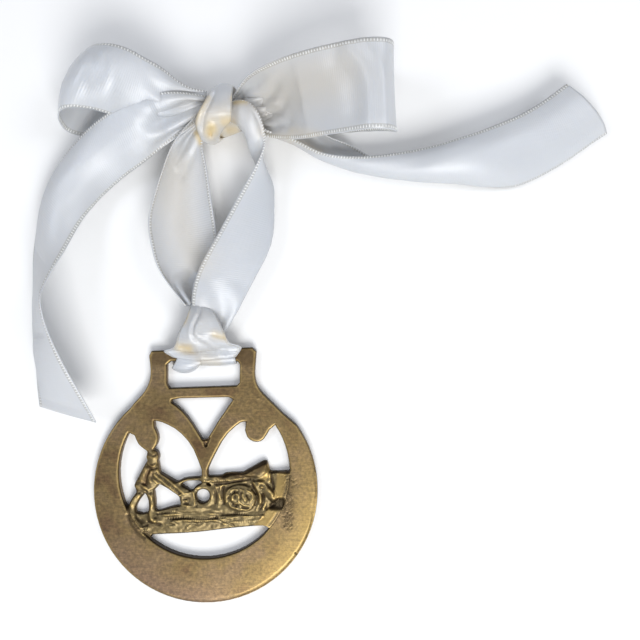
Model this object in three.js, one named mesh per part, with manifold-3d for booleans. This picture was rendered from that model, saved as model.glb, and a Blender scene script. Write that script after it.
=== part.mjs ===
// A cast horse brass with a ploughing scene, hung on a tied satin ribbon.
// Millimetres. The brass lies on its flat back, +Z out of its face, +Y towards the ribbon's bow.
// The sketch below has its origin at the centre of the round rim; the finished group is moved so
// that its own origin is in the middle of the underside of everything.
import * as THREE from 'three';
import { mergeVertices } from 'three/addons/utils/BufferGeometryUtils.js';
import Module from 'manifold-3d';

const wasm = await Module();
wasm.setup();

// Brass casting
const RIM_RADIUS = 37.75;
const FACE = 3.4;             // height of the rim's face above the flat back
const FIELD = 2.5;            // height of the ground behind the ploughing scene
const EDGE = 0.45;            // rounding of a cast edge
const WINDOW = { x: -0.5, y: 6, radius: 28.8 };
const BAR_BOTTOM = 43.6;      // lower edge of the top bar, which the ribbon goes round
const BAR_RELIEF = 1.25;      // the bar's underside is this far above the table
const STRAP_GAP = 0.3;

// Ribbon
const RIBBON_WIDTH = 25.4;
const RIBBON_THICK = 0.7;
const ROWS_PER_STATION = 3;
const ACROSS = 5;

const DEG = Math.PI / 180;

// ---- outlines -------------------------------------------------------------------------------

function arc(x, y, radius, from, to, steps) {
  return Array.from({ length: steps + 1 }, (_, i) => {
    const angle = (from + (to - from) * i / steps) * DEG;
    return new THREE.Vector2(x + radius * Math.cos(angle), y + radius * Math.sin(angle));
  });
}

function points(list) {
  return list.map(([x, y]) => new THREE.Vector2(x, y));
}

function smooth(list, steps) {
  return new THREE.SplineCurve(points(list)).getPoints(steps);
}

function ellipse(x, y, rx, ry, turn, steps) {
  const curve = new THREE.EllipseCurve(x, y, rx, ry, 0, 2 * Math.PI, false, turn * DEG);
  return curve.getPoints(steps).slice(0, steps);
}

// The outline of a bar whose middle line goes through [x, y, half width] points.
function barOutline(spine, steps) {
  const line = new THREE.CatmullRomCurve3(spine.map(([x, y, half]) => new THREE.Vector3(x, y, half)));
  const left = [];
  const right = [];
  for (let i = 0; i <= steps; i++) {
    const at = line.getPoint(i / steps);
    const along = line.getTangent(i / steps).setZ(0).normalize();
    left.push(new THREE.Vector2(at.x - along.y * at.z, at.y + along.x * at.z));
    right.push(new THREE.Vector2(at.x + along.y * at.z, at.y - along.x * at.z));
  }
  return [...left, ...right.reverse()];
}

// ---- solids ---------------------------------------------------------------------------------

function solidOf(geometry) {
  const bare = geometry.index ? geometry.toNonIndexed() : geometry.clone();
  bare.deleteAttribute('normal');
  bare.deleteAttribute('uv');
  const merged = mergeVertices(bare, 1e-4);
  return new wasm.Manifold(new wasm.Mesh({
    numProp: 3,
    vertProperties: new Float32Array(merged.attributes.position.array),
    triVerts: new Uint32Array(merged.index.array),
  }));
}

function geometryOf(solid) {
  const mesh = solid.getMesh();
  const geometry = new THREE.BufferGeometry();
  geometry.setAttribute('position', new THREE.BufferAttribute(mesh.vertProperties, 3));
  geometry.setIndex(new THREE.BufferAttribute(mesh.triVerts, 1));
  geometry.computeVertexNormals();
  return geometry;
}

function join(solids) {
  return solids.reduce((whole, next) => whole.add(next));
}

function box(low, high) {
  const size = new THREE.Vector3(...high).sub(new THREE.Vector3(...low));
  const geometry = new THREE.BoxGeometry(size.x, size.y, size.z);
  geometry.translate(low[0] + size.x / 2, low[1] + size.y / 2, low[2] + size.z / 2);
  return solidOf(geometry);
}

// A cast form: an outline raised from below the back to a rounded top. The back is cut flat later.
function raised(outline, top, edge, holes = []) {
  const clockwise = THREE.ShapeUtils.isClockWise(outline);
  const shape = new THREE.Shape(clockwise ? [...outline].reverse() : outline);
  shape.holes = holes.map((hole) => new THREE.Path(hole));
  return solidOf(new THREE.ExtrudeGeometry(shape, {
    depth: top - edge, bevelEnabled: true, bevelThickness: edge, bevelSize: edge,
    bevelOffset: -edge, bevelSegments: 1,
  }));
}

// ---- brass ----------------------------------------------------------------------------------

function rimOutline() {
  const rightShoulder = smooth([[16.5, 40], [16.8, 37], [18.2, 34], [21, 31], [26.3, 25.8]], 10);
  const leftShoulder = smooth([[-24.2, 29.5], [-21, 33], [-19.2, 36.3], [-18.6, 40], [-19.1, 45.4]], 10);
  return [
    ...points([[15.6, 48.3], [17, 46.9]]),
    ...rightShoulder,
    ...arc(0, 0, RIM_RADIUS, 36, -228, 56),
    ...leftShoulder,
    ...points([[-18.3, 47.1]]),
  ];
}

function hangerSlot() {
  return points([
    [-13.1, 36], [-12.3, 34.6], [-0.6, 35], [10.4, 35.4], [11.4, 36.4],
    [11.5, 42.6], [10.6, BAR_BOTTOM], [-11.8, BAR_BOTTOM], [-13.1, 42.4],
  ]);
}

function triangleOpening() {
  const right = smooth([[9.2, 30.8], [6.9, 27.4], [4.2, 23.5], [2.2, 20.1], [0.3, 17.2]], 7);
  const left = smooth([[-1.2, 17.2], [-2.4, 19.2], [-5.2, 23.6], [-8.4, 27.4], [-11.6, 29.8]], 7);
  return [...right, ...left, ...points([[-11.4, 30.6], [-8.6, 31.1], [7.6, 31.5]])];
}

// The opening inside the rim, with the Y strut and the two lobes hanging into it from the top.
function sceneWindow() {
  const leftLobe = smooth([[-17.3, 21.4], [-16.1, 18.7], [-16.2, 16.2], [-17.7, 13.7], [-19, 12.9],
    [-20.9, 14.1], [-22.8, 15.8], [-24, 18.6]], 13);
  const leftArm = smooth([[-1.4, 7], [-4.6, 14.7], [-9.3, 20.1], [-14.4, 22.9], [-17.4, 23.6]], 9);
  const rightArm = smooth([[13.6, 23.2], [11.4, 22.7], [6.4, 18], [2, 10], [0.7, 6.9]], 9);
  const rightLobe = smooth([[21.6, 20.6], [19.3, 17.1], [16.7, 16.4], [14.2, 17.7], [13.2, 20.4]], 9);
  return [
    ...points([[0.8, 2.6], [-1.5, 2.6]]),
    ...leftArm,
    ...leftLobe,
    ...arc(WINDOW.x, WINDOW.y, WINDOW.radius, 152, 394, 46),
    ...points([[22.5, 21.3]]),
    ...rightLobe,
    ...rightArm,
  ];
}

function fieldOutline() {
  const upperEdge = points([
    [-29.9, -4.8], [-27, -5], [-24.5, -7.2], [-21.3, -7.9], [-18.8, -7], [-15.8, -6.8],
    [-10.9, -5.3], [-5, -4.9], [1.4, -5], [2.6, -2], [2, 1.5], [-1.6, 4.7], [3.4, 4], [6.8, 5.9],
    [12.5, 6.1], [19.4, 10], [20.7, 9.9], [21.7, 6.4], [28.8, 6.6],
  ]);
  const lowerEdge = smooth([[20, -11.9], [8, -13], [-3.8, -14.4], [-18.1, -15.1]], 8);
  return [...upperEdge, ...points([[30.5, 0], [28, -9], [23, -14]]), ...lowerEdge,
    ...points([[-21, -19], [-28, -13]])];
}

function ploughman() {
  const torso = points([[-20.3, 9.6], [-22.3, 5.7], [-24.4, 1.7], [-23.3, -0.6], [-19.2, -1.1],
    [-16.2, 1.2], [-15.4, 5.8], [-15.9, 9.6]]);
  const rearLeg = [[-21.8, -0.6, 1.2], [-24, -3.4, 1.3], [-25, -6.4, 1.3], [-24, -10, 1.3],
    [-20.6, -14, 1.2]];
  const frontLeg = [[-19, -0.4, 1.5], [-18.2, -3.6, 1.2], [-18.2, -7, 1.2], [-18.5, -9.4, 1.2],
    [-16.2, -10.4, 1]];
  return [
    raised(ellipse(-17.9, 11.4, 2.3, 2.6, 0, 8), 3.7, 0.6),
    raised(torso, 3.5, 0.8),
    raised(barOutline(rearLeg, 9), 3.3, 0.6),
    raised(barOutline(frontLeg, 8), 3.3, 0.6),
    raised(barOutline([[-17.5, 5.2, 1.8], [-12.6, 2.4, 1.8], [-6.6, -1.4, 2]], 4), 3.3, 0.7),
  ];
}

function plough() {
  const box = points([[-9.4, -0.8], [-8.4, -5.6], [-3, -5.8], [-3.8, 0.2]]);
  const wheel = raised(ellipse(-1, -1.9, 4.1, 4.2, 0, 14), 3, 0.6, [ellipse(-1, -1.9, 2.3, 2.3, 0, 12)]);
  const rail = [[-10.4, 1.6, 0.7], [-7.2, 3.5, 0.6], [-3.4, 3.9, 0.6], [2, 4, 0.9], [8, 4.2, 0.9]];
  return [raised(box, 3, 0.6), wheel, raised(barOutline(rail, 9), 3.1, 0.4)];
}

function horseAndHedge() {
  const hedge = points([[9, 5.2], [12.6, 5.9], [19.6, 9.6], [20.8, 9.2], [21, 6.2], [18.4, 4.4]]);
  const head = [[17, 3, 1.1], [19.4, 0.9, 1.7], [22.4, -1.8, 1.5], [24, -4.4, 1]];
  const collar = [[15.6, 3.6, 0.8], [18, 0, 0.9], [18.8, -4.8, 0.9]];
  return [
    raised(hedge, 3.5, 0.7),
    raised(ellipse(11.5, -2.5, 6, 4.8, -8, 18), 3.4, 0.8),
    raised(ellipse(11.3, -2.4, 3.6, 2.7, -8, 14), 4, 0.8),
    raised(barOutline(head, 6), 3.5, 0.7),
    raised(barOutline(collar, 5), 3.3, 0.6),
  ];
}

function furrows() {
  const ridges = [
    [[-14.6, -8.2, 0.8], [-6, -6.6, 1.3], [5, -7.6, 1.1]],
    [[-12.6, -10.8, 0.7], [-3, -9.7, 1.1], [6.6, -10.2, 0.8]],
    [[3.4, -9.2, 0.7], [11, -9, 1], [20, -8.4, 0.8]],
  ];
  return ridges.map((spine) => raised(barOutline(spine, 6), 3.1, 0.6));
}

function horseBrass() {
  const rim = raised(rimOutline(), FACE, EDGE, [hangerSlot(), triangleOpening(), sceneWindow()]);
  const wheelHole = solidOf(new THREE.CylinderGeometry(2.3, 2.3, 8, 12).rotateX(Math.PI / 2)
    .translate(-1, -1.9, FIELD));
  const scene = join([raised(fieldOutline(), FIELD, EDGE), ...ploughman(), ...plough(),
    ...horseAndHedge(), ...furrows()]).subtract(wheelHole);
  const belowBack = box([-60, -60, -5], [60, 60, 0]);
  const underBar = box([-13.1, BAR_BOTTOM - 1, -5], [11.5, 60, BAR_RELIEF]);
  return rim.add(scene).subtract(belowBack).subtract(underBar);
}

// ---- ribbon ---------------------------------------------------------------------------------
// Each run of ribbon is a list of stations from one end to the other. A station holds the two
// selvedges as [x, y, z]; where they are closer together than the ribbon is wide, the cloth
// between them bows out into an arc as long as the ribbon's width, on the side that bow names.

const RUNS = {
  rightTail: { bow: -1, stations: [
    [[14.5, 123, 12], [15.5, 127, 11]], [[22, 119, 11], [26.5, 124, 9]],
    [[30.5, 116.6, 10], [35, 121.5, 9]], [[38, 112.6, 10], [41, 118, 8]],
    [[46.5, 111.2, 10], [48.5, 116, 5]], [[58, 111.4, 10], [57.5, 111.8, 2]],
    [[74.5, 114, 10], [72.5, 107, 1]], [[90.5, 119, 11], [94.5, 102.5, 2]],
    [[105.5, 125.5, 10], [111, 105, 2]], [[119.5, 135, 9], [135.5, 120.5, 2]]] },
  leftTail: { bow: 1, stations: [
    [[1.5, 129, 13], [3.5, 125.5, 11]], [[-10, 129.5, 14], [-4.5, 120, 8]],
    [[-24.5, 125.5, 14], [-18.5, 110.5, 5]], [[-40, 118, 8], [-32, 101, 4]],
    [[-51.5, 105, 4], [-38.5, 92, 9]], [[-58, 90, 1], [-43, 79.5, 16]],
    [[-59.5, 77, 1], [-47, 69, 22]], [[-59.5, 64.5, 1], [-47.5, 62.5, 25]],
    [[-59, 50.5, 1], [-45, 51, 22]], [[-56.6, 28.2, 1], [-33.9, 24.6, 13]]] },
  rightLoop: { bow: 1, stations: [
    [[11.5, 129.5, 14], [12, 123, 12]], [[17, 136, 20], [20, 118.5, 15]],
    [[25, 137.5, 26], [31, 117, 20]], [[37.5, 139.5, 32], [41.5, 114.5, 29]],
    [[50, 139, 38], [51, 113.5, 38]], [[58, 139.5, 40], [58.5, 114, 40]],
    [[62, 139.5, 32], [62.5, 117, 31]], [[60.5, 141, 18], [60.5, 121, 17]],
    [[48.5, 141, 7], [48.5, 121, 7]], [[32, 137.5, 3], [32, 121, 3]],
    [[12, 131, 7], [12, 125, 7]]] },
  leftLoop: { bow: -1, stations: [
    [[2, 131, 16], [1.5, 126.5, 14]], [[-4, 131.5, 18], [-5, 124, 15]],
    [[-11.5, 137.5, 24], [-15.5, 119.5, 18]], [[-20.5, 141, 29], [-25.5, 120, 25]],
    [[-30, 140, 30], [-40, 122, 28]], [[-39, 137, 20], [-46, 121, 19]],
    [[-39, 137.5, 9], [-46, 119.5, 9]], [[-32, 135.5, 4], [-38.5, 118.5, 5]],
    [[-18.5, 132.5, 3], [-20, 119.5, 4]], [[0.5, 131, 7], [0.5, 125, 7]]] },
  rightStrand: { bow: 1, stations: [
    [[13, 126, 20], [11, 123, 12]], [[18, 124.5, 22], [13.5, 119, 8]],
    [[20.5, 118, 21], [15.5, 114.5, 4]], [[20, 111, 19], [19, 106.5, 2]],
    [[15, 102.5, 12], [23.5, 97, 5]], [[8.5, 93, 7], [23.5, 87.5, 10]],
    [[1, 80.5, 4], [21, 78, 13]], [[-3, 71, 6], [15, 67, 12]], [[-3.5, 63, 8], [7.5, 58, 8]]] },
  leftStrand: { bow: 1, stations: [
    [[-0.5, 125, 12], [4, 125.5, 10]], [[-8, 114.5, 13], [-1.5, 117.5, 5]],
    [[-13, 103, 14], [0.5, 108, 3]], [[-17, 92.5, 11], [2, 96.5, 2]],
    [[-17.5, 84, 9], [4.5, 84.5, 2]], [[-14.5, 72.5, 7], [2.5, 73.5, 2]],
    [[-5, 61.5, 7], [2.5, 63, 5]]] },
};

// The turn round the top bar: down over its front, through the slot and back up behind it.
const TURN_LEFT = -11.4;
const TURN_RIGHT = 10;
const TURN_FRONT = FACE + STRAP_GAP + RIBBON_THICK / 2;
const TURN_BACK = RIBBON_THICK / 2;
const TURN_SLOT = BAR_BOTTOM - STRAP_GAP - RIBBON_THICK;
const TURN = [
  [[-3.5, 62, 8], [7, 62, 8]], [[-6, 57, 8], [8, 56.5, 8]], [[-9.5, 51.5, 7], [9, 51.5, 7]],
  [[-12, 47.4, TURN_FRONT + 0.9], [10.6, 47.4, TURN_FRONT + 0.9]],
  [[TURN_LEFT, 44.6, TURN_FRONT + 0.2], [TURN_RIGHT, 44.6, TURN_FRONT + 0.2]],
  [[TURN_LEFT, TURN_SLOT, 2.6], [TURN_RIGHT, TURN_SLOT, 2.6]],
  [[TURN_LEFT, TURN_SLOT, 1.2], [TURN_RIGHT, TURN_SLOT, 1.2]],
  [[TURN_LEFT, BAR_BOTTOM + 0.6, TURN_BACK], [TURN_RIGHT, BAR_BOTTOM + 0.6, TURN_BACK]],
  [[TURN_LEFT, 48.5, TURN_BACK], [TURN_RIGHT, 48.5, TURN_BACK]],
  [[-9, 54, 1.2], [8, 54, 1.2]], [[-4, 60, 5], [6, 60, 5]],
];

// Half the angle of an arc whose chord is the given share of its length.
function halfAngle(share) {
  if (share >= 0.999) return 0;
  let angle = Math.sqrt(6 * (1 - share));
  for (let i = 0; i < 6; i++) {
    const miss = Math.sin(angle) - share * angle;
    angle -= miss / (Math.cos(angle) - share);
  }
  return Math.min(angle, 2.6);
}

function crossSection(a, b, along, bow, width) {
  const chord = b.clone().sub(a);
  const span = chord.length();
  const half = halfAngle(span / width);
  const middle = a.clone().lerp(b, 0.5);
  const across = chord.normalize();
  const out = along.clone().cross(across).normalize().multiplyScalar(bow);
  return Array.from({ length: ACROSS + 1 }, (_, j) => {
    const s = 2 * j / ACROSS - 1;
    if (half < 0.05) return middle.clone().addScaledVector(across, s * span / 2);
    const radius = span / 2 / Math.sin(half);
    const rise = radius * (Math.cos(s * half) - Math.cos(half));
    return middle.clone().addScaledVector(across, radius * Math.sin(s * half)).addScaledVector(out, rise);
  });
}

function ribbonRows(stations, bow, width) {
  const curve = (side) => new THREE.CatmullRomCurve3(
    stations.map((station) => new THREE.Vector3(...station[side])), false, 'catmullrom', 0.5);
  const [first, second] = [curve(0), curve(1)];
  const steps = (stations.length - 1) * ROWS_PER_STATION;
  return Array.from({ length: steps + 1 }, (_, i) => {
    const along = first.getTangent(i / steps).add(second.getTangent(i / steps)).normalize();
    return crossSection(first.getPoint(i / steps), second.getPoint(i / steps), along, bow, width);
  });
}

// A closed strip: the rows of points, offset to both sides by half the ribbon's thickness.
function strip(rows) {
  const count = rows[0].length;
  const last = rows.length - 1;
  const normalAt = (i, j) => {
    const du = rows[Math.min(i + 1, last)][j].clone().sub(rows[Math.max(i - 1, 0)][j]);
    const dv = rows[i][Math.min(j + 1, count - 1)].clone().sub(rows[i][Math.max(j - 1, 0)]);
    return du.cross(dv).normalize();
  };
  const positions = [];
  for (const side of [1, -1]) {
    rows.forEach((row, i) => row.forEach((point, j) => {
      const at = point.clone().addScaledVector(normalAt(i, j), side * RIBBON_THICK / 2);
      positions.push(at.x, at.y, Math.max(at.z, 0));
    }));
  }
  const top = (i, j) => i * count + j;
  const under = (i, j) => (last + 1) * count + top(i, j);
  const index = [];
  const quad = (a, b, c, d) => index.push(a, b, c, a, c, d);
  for (let i = 0; i < last; i++) {
    for (let j = 0; j < count - 1; j++) {
      quad(top(i, j), top(i + 1, j), top(i + 1, j + 1), top(i, j + 1));
      quad(under(i, j), under(i, j + 1), under(i + 1, j + 1), under(i + 1, j));
    }
    quad(top(i, 0), under(i, 0), under(i + 1, 0), top(i + 1, 0));
    quad(top(i, count - 1), top(i + 1, count - 1), under(i + 1, count - 1), under(i, count - 1));
  }
  for (let j = 0; j < count - 1; j++) {
    quad(top(0, j), top(0, j + 1), under(0, j + 1), under(0, j));
    quad(top(last, j), under(last, j), under(last, j + 1), top(last, j + 1));
  }
  const geometry = new THREE.BufferGeometry();
  geometry.setAttribute('position', new THREE.Float32BufferAttribute(positions, 3));
  geometry.setIndex(index);
  return geometry;
}

function knot(center, radii) {
  const geometry = new THREE.SphereGeometry(1, 12, 8);
  geometry.scale(...radii);
  geometry.translate(...center);
  return solidOf(geometry);
}

function ribbon() {
  const runs = Object.values(RUNS).map(({ bow, stations }) => (
    solidOf(strip(ribbonRows(stations, bow, RIBBON_WIDTH)))));
  const turn = solidOf(strip(ribbonRows(TURN, 1, 0.1)));
  const bowKnot = knot([5, 126.5, 11.5], [6.5, 8.5, 9.5]);
  const lowerKnot = knot([1.5, 60.5, 6.2], [6.5, 4.5, 5.2]);
  return join([...runs, turn, bowKnot, lowerKnot]);
}

// ---- the finished part ----------------------------------------------------------------------

function mesh(name, solid, color, roughness, metalness) {
  const material = new THREE.MeshStandardMaterial({ color, roughness, metalness });
  const piece = new THREE.Mesh(geometryOf(solid), material);
  piece.name = name;
  return piece;
}

const group = new THREE.Group();
group.add(
  mesh('horse_brass', horseBrass(), '#8b7548', 0.45, 1),
  mesh('ribbon', ribbon(), '#efe9dd', 0.5, 0),
);
const bounds = new THREE.Box3().setFromObject(group);
const middle = bounds.getCenter(new THREE.Vector3());
group.position.set(-middle.x, -middle.y, -bounds.min.z);

export default group;
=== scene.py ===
"""A horse brass on a tied satin ribbon, lying on a pale table."""
import math

import bmesh
import bpy
import numpy as np
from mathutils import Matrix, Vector


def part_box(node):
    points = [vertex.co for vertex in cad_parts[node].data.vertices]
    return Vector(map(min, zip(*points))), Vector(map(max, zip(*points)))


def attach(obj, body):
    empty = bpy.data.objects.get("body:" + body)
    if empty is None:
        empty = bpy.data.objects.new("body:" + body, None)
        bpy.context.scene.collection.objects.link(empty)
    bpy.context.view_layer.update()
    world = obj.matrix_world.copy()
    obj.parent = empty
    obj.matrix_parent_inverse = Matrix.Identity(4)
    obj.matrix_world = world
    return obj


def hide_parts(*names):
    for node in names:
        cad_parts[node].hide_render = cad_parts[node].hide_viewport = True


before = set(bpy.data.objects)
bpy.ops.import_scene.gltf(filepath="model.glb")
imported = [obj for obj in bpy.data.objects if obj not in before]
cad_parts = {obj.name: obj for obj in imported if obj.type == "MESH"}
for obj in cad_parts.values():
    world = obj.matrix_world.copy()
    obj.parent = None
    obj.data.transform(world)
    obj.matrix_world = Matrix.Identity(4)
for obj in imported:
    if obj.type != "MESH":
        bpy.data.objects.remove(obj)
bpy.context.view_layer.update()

bl_info = {
    "name": "Horse brass on a satin ribbon",
    "version": (1, 0, 0),
    "blender": (4, 5, 0),
    "location": "View3D > Sidebar > Horse brass",
    "description": "Dresses the packed horse brass and its tied ribbon",
    "category": "Add Mesh",
}

# Shapes are drawn in millimetres from the centre of the brass's round rim, as on its pattern:
# +X to the right, +Y towards the bow, +Z out of the brass's face.
MM = 0.001
RIM_RADIUS = 37.75
FACE = 3.4                    # height of the rim's face
FIELD = 2.5                   # height of the ground behind the scene
WINDOW = np.array([-0.5, 6])  # centre of the round window that the scene stands in
SCENE_SMOOTHING = 22          # passes that round the steps of the relief
CARVING = 0.82                # wear leaves this share of the fine carving
BRASS_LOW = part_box("horse_brass")[0]
RIM_CENTRE = np.array([BRASS_LOW[0] + RIM_RADIUS * MM, BRASS_LOW[1] + RIM_RADIUS * MM, BRASS_LOW[2]])
RIBBON_WIDTH = 25.4
LOOSE_BEND = 6                # a loose run's changes of course are rounded over this length
TIGHT_BEND = 0.8              # the same in a knot
TURN_UNDER = 0.8              # radius of a fold that tucks the ribbon under itself
LINE_SPACING = 0.7            # crosswise lines of the satin; real picks are finer, 0.1 mm apart
BAND = 2                      # width of the woven band along each selvedge
STITCH_INSET = 0.75
STITCH_SIZE = {"Length": 0.0013, "Width": 0.0005, "Height": 0.0006}  # metres
VIEW_CENTRE = (38.5, 57.5, 0)
TABLE_REACH = 1.5             # metres from the middle of the table to its edge


def linear(code):
    """The linear colour of an sRGB hex value."""
    values = [int(code[i:i + 2], 16) / 255 for i in (1, 3, 5)]
    return tuple(v / 12.92 if v <= 0.04045 else ((v + 0.055) / 1.055) ** 2.4 for v in values)


def placed(points):
    """Pattern millimetres to metres in the part's frame."""
    return np.asarray(points, float) * MM + RIM_CENTRE


# ---- sizes and colours a user would change ------------------------------------------------------

def length_prop(name, description, default, low, high):
    return bpy.props.FloatProperty(
        name=name, description=description, default=default, min=low, max=high, unit="LENGTH")


def color_prop(name, description, code):
    return bpy.props.FloatVectorProperty(
        name=name, description=description, default=linear(code), min=0, max=1, subtype="COLOR")


class BrassSettings(bpy.types.PropertyGroup):
    voxel: length_prop(
        "Surface step", "Size of the faces of the casting's skin", 0.00022, 0.0002, 0.002)
    triangles: bpy.props.IntProperty(
        name="Triangles", description="Most triangles in the casting's skin", default=190000,
        min=10000, max=199000)
    relief: bpy.props.FloatProperty(
        name="Relief", description="Strength of the fine carving", default=1.0, min=0, max=2)
    base: color_prop("Aged brass", "Colour of the worn face", "#8A7958")
    patina: color_prop("Patina", "Colour of the tarnish in the recesses", "#43382A")
    # Colour of the rubbed edges, which also carries a painted highlight along them.
    polish_and_highlight: color_prop("Rubbed brass", "Colour where the edges are rubbed bright", "#B59C66")


class RibbonSettings(bpy.types.PropertyGroup):
    step: length_prop("Cloth step", "Length of the cloth's faces", 0.0009, 0.0003, 0.005)
    thickness: length_prop("Thickness", "Thickness of the satin", 0.00035, 0.0001, 0.001)
    stitch: length_prop(
        "Stitch spacing", "Spacing of the stitches in the selvedge", 0.00095, 0.0005, 0.003)
    satin: color_prop("Satin", "Colour of the ribbon", "#C9CCD0")
    # Colour of the painted warm light in deep folds and over the loops.
    cream: color_prop("Fold tint", "Colour of the satin deep in its folds", "#E0C795")


class StageSettings(bpy.types.PropertyGroup):
    width: length_prop("View width", "Width of the table that the camera sees", 0.2182, 0.1, 1)
    distance: length_prop("Camera height", "Height of the camera over the table", 0.25, 0.1, 2)
    floor: color_prop("Table", "Colour of the table", "#FCFCFB")


# ---- shared helpers ------------------------------------------------------------------------------

def add(tree, kind, inputs=None, stops=(), **settings):
    """Adds a node. An input's value is a plain value, a colour or the output socket that feeds it;
    stops are a colour ramp's (position, linear colour) pairs."""
    node = tree.nodes.new(kind)
    for name, value in settings.items():
        setattr(node, name, value)
    for name, value in (inputs or {}).items():
        socket = node.inputs[name]
        if isinstance(value, bpy.types.NodeSocket):
            tree.links.new(value, socket)
        elif socket.type == "RGBA":
            socket.default_value = (*tuple(value)[:3], 1)
        else:
            socket.default_value = value
    for index, (position, color) in enumerate(stops):
        elements = node.color_ramp.elements
        if index == len(elements):
            elements.new(position)
        elements[index].position = position
        elements[index].color = (*color, 1)
    return node


def new_material(name):
    material = bpy.data.materials.new(name)
    material.use_nodes = True
    material.node_tree.nodes.clear()
    return material, material.node_tree


def new_object(name, mesh, material=None):
    obj = bpy.data.objects.new(name, mesh)
    bpy.context.scene.collection.objects.link(obj)
    if material:
        mesh.materials.clear()
        mesh.materials.append(material)
    return obj


def applied(obj):
    """Turns an object's modifiers into its plain mesh."""
    graph = bpy.context.evaluated_depsgraph_get()
    mesh = bpy.data.meshes.new_from_object(obj.evaluated_get(graph))
    obj.modifiers.clear()
    obj.data = mesh
    return obj


def shade_smooth(mesh):
    mesh.polygons.foreach_set("use_smooth", [True] * len(mesh.polygons))
    mesh.update()


def vectors(items, field):
    """One row of three numbers for each item of a mesh."""
    out = np.empty(len(items) * 3)
    items.foreach_get(field, out)
    return out.reshape(-1, 3)


def set_positions(mesh, points):
    mesh.vertices.foreach_set("co", points.ravel())
    mesh.update()


def store(mesh, name, values):
    attribute = mesh.attributes.new(name, "FLOAT", "POINT")
    attribute.data.foreach_set("value", np.clip(values, 0, 1))


def catmull(points, u):
    """Points on the Catmull-Rom curve through the given ones; u counts the given points."""
    points = np.asarray(points, float)
    ends = np.vstack([2 * points[0] - points[1], points, 2 * points[-1] - points[-2]])
    i = np.clip(np.floor(u).astype(int), 0, len(points) - 2)
    t = (u - i)[:, None]
    p0, p1, p2, p3 = ends[i], ends[i + 1], ends[i + 2], ends[i + 3]
    return 0.5 * (2 * p1 + (p2 - p0) * t + (2 * p0 - 5 * p1 + 4 * p2 - p3) * t ** 2
                  + (3 * p1 - p0 - 3 * p2 + p3) * t ** 3)


def value_noise(points, cell, seed):
    """Smooth noise from -1 to 1 on 3-D points, one value to each cell."""
    grid = np.random.default_rng(seed).uniform(-1, 1, (32, 32, 32))
    scaled = np.asarray(points) / cell
    base = np.floor(scaled).astype(int)
    part = scaled - base
    part = part * part * (3 - 2 * part)
    total = np.zeros(len(scaled))
    for corner in np.ndindex(2, 2, 2):
        index = (base + corner) % 32
        weight = np.prod(np.where(corner, part, 1 - part), axis=1)
        total += weight * grid[index[:, 0], index[:, 1], index[:, 2]]
    return total


def smoothstep(low, high, value):
    t = np.clip((value - low) / (high - low), 0, 1)
    return t * t * (3 - 2 * t)


class Neighbours:
    """Averages over the vertices that share an edge."""

    def __init__(self, mesh):
        edges = np.empty(len(mesh.edges) * 2, int)
        mesh.edges.foreach_get("vertices", edges)
        self.a, self.b = edges.reshape(-1, 2).T
        self.count = len(mesh.vertices)
        self.degree = np.bincount(np.r_[self.a, self.b], minlength=self.count).clip(1)

    def mean(self, values):
        total = np.bincount(np.r_[self.a, self.b], np.r_[values[self.b], values[self.a]], self.count)
        return total / self.degree

    def blurred(self, values, times, share=0.5):
        """Moves values, or points, towards the mean of their neighbours."""
        if values.ndim > 1:
            return np.stack([self.blurred(column, times, share) for column in values.T], axis=1)
        for _ in range(times):
            values = (1 - share) * values + share * self.mean(values)
        return values


# ---- the casting ---------------------------------------------------------------------------------

# Fine carving on the figures: (radius, height, points). A negative height is a groove.
PLOUGHMAN = [
    (0.4, 0.28, [(-20, 10), (-18.1, 8.4), (-16.5, 9.3), (-15.6, 11.2)]),
    (0.35, -0.3, [(-19.6, 8.4), (-18, 7.4), (-16.4, 7.9)]),
    (0.9, 0.25, [(-18, 11.6), (-17.6, 11.4)]),
    (0.4, -0.25, [(-19.3, 12.4), (-17.6, 11.9), (-16.4, 12.4)]),
    (0.8, 0.3, [(-20.4, 7.2), (-21.4, 4.6), (-21.8, 3.2)]),
    (0.45, -0.3, [(-19, 6.9), (-19.9, 4.7), (-20.1, 2.6)]),
    (0.45, 0.28, [(-18.3, 6.8), (-19, 5), (-18.6, 3.3)]),
    (0.3, -0.28, [(-17.8, 5.4), (-18, 3.9), (-16.8, 2.6)]),
    (0.5, 0.35, [(-16.2, 6.9), (-12.9, 4.1), (-9.8, 1.3), (-7.8, -0.5)]),
    (0.3, -0.32, [(-16.6, 6), (-12.9, 2.9), (-8.6, -0.9)]),
    (0.4, 0.3, [(-17.2, 5.4), (-13.7, 2.4), (-9.1, -1.5)]),
    (0.3, -0.28, [(-17.4, 4.6), (-14.3, 1.8), (-10.3, -1.6)]),
    (0.45, 0.28, [(-17.4, 3.6), (-15.4, 1.8), (-13.6, 0.6)]),
    (0.7, 0.3, [(-23, 1.2), (-21.2, 1.7), (-19.2, 0.4)]),
    (0.4, -0.3, [(-23.6, 2.4), (-21.8, 2.8), (-19.8, 2)]),
    (0.4, -0.25, [(-22.2, -0.4), (-20.6, 0.2), (-19.4, -0.8)]),
    (0.55, 0.3, [(-19.3, -0.9), (-18.1, -2.8), (-18.2, -5), (-18.8, -7.4), (-18.3, -9.2)]),
    (0.8, 0.3, [(-18, -9.8), (-16.4, -10.5), (-15.4, -10.4)]),
    (0.35, -0.35, [(-19.6, -10.6), (-17.8, -11.2), (-15.4, -11.6)]),
    (0.7, 0.3, [(-22.4, -1.6), (-24.4, -3.4), (-25.3, -6.2), (-24.3, -9.4), (-22.2, -12.2)]),
    (0.5, -0.4, [(-26.3, -8.2), (-25.4, -11.2), (-23, -14.2), (-20.6, -16)]),
    (0.5, -0.35, [(-23.2, -9), (-21.2, -10.6), (-19.8, -11.8)]),
]
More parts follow.
